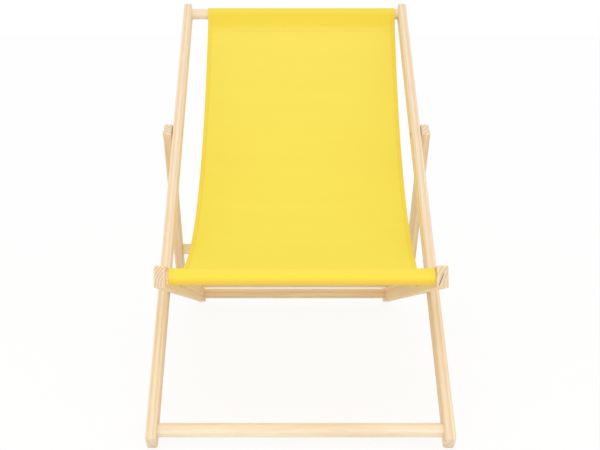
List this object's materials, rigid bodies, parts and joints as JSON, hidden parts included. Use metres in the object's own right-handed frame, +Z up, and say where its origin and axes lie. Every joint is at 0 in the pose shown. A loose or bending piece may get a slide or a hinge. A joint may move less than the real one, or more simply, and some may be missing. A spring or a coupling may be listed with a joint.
{
  "type": "folding deck chair",
  "caption": "Wooden folding deck chair: crossed rail frames, a notched prop frame that sets the recline, and a yellow cloth sling hung between two dowels.",
  "frame": {"origin": "on the floor, under the centre of the chair's outer box", "axes": "+Z up, +Y from the sitter's feet towards the back of the chair, +X across the chair to the viewer's right when the chair is seen from the front"},
  "size_m": [0.6124, 0.9476, 0.792],
  "materials": {
    "wood": "planed pale pine, unfinished, satin",
    "dowel": "turned pale pine, unfinished, satin",
    "canvas": "plain-woven yellow polyester canvas, matt",
    "hardware": "yellow zinc plated, satin",
    "washer": "natural nylon"
  },
  "bodies": {
    "back_frame": {"back_rail_left": "wood", "back_rail_right": "wood", "foot_dowel": "dowel", "top_dowel": "dowel", "sling": "canvas", "foot_dowel_screw_left": "hardware", "foot_dowel_screw_right": "hardware", "top_dowel_screw_left": "hardware", "top_dowel_screw_right": "hardware", "seat_pivot_bolt_left": "hardware", "seat_pivot_bolt_right": "hardware", "seat_pivot_sleeve_nut_left": "hardware", "seat_pivot_sleeve_nut_right": "hardware", "seat_pivot_washer_left": "washer", "seat_pivot_washer_right": "washer", "prop_pivot_bolt_left": "hardware", "prop_pivot_bolt_right": "hardware", "prop_pivot_sleeve_nut_left": "hardware", "prop_pivot_sleeve_nut_right": "hardware", "prop_pivot_washer_left": "washer", "prop_pivot_washer_right": "washer"},
    "seat_frame": {"seat_rail_left": "wood", "seat_rail_right": "wood", "front_dowel": "dowel", "rear_dowel": "dowel", "front_dowel_screw_left": "hardware", "front_dowel_screw_right": "hardware", "rear_dowel_screw_left": "hardware", "rear_dowel_screw_right": "hardware"},
    "prop_frame": {"prop_rail_left": "wood", "prop_rail_right": "wood", "prop_cross_bar": "dowel", "prop_notch_bar": "dowel", "prop_cross_bar_screw_left": "hardware", "prop_cross_bar_screw_right": "hardware", "prop_notch_bar_screw_left": "hardware", "prop_notch_bar_screw_right": "hardware"}
  },
  "joints": [
    {"name": "seat_fold", "type": "hinge", "parent": "back_frame", "child": "seat_frame", "pos_m": [0, -0.19032, 0.23792], "axis": [1, 0, 0], "range_deg": [0, 55], "deforming": ["sling"]},
    {"name": "prop_swing", "type": "hinge", "parent": "back_frame", "child": "prop_frame", "pos_m": [0, 0.12636, 0.4999], "axis": [1, 0, 0], "range_deg": [0, 96.25]}
  ],
  "couplings": [
    {"joint": "prop_swing", "follows": "seat_fold", "ratio": 1.75}
  ]
}
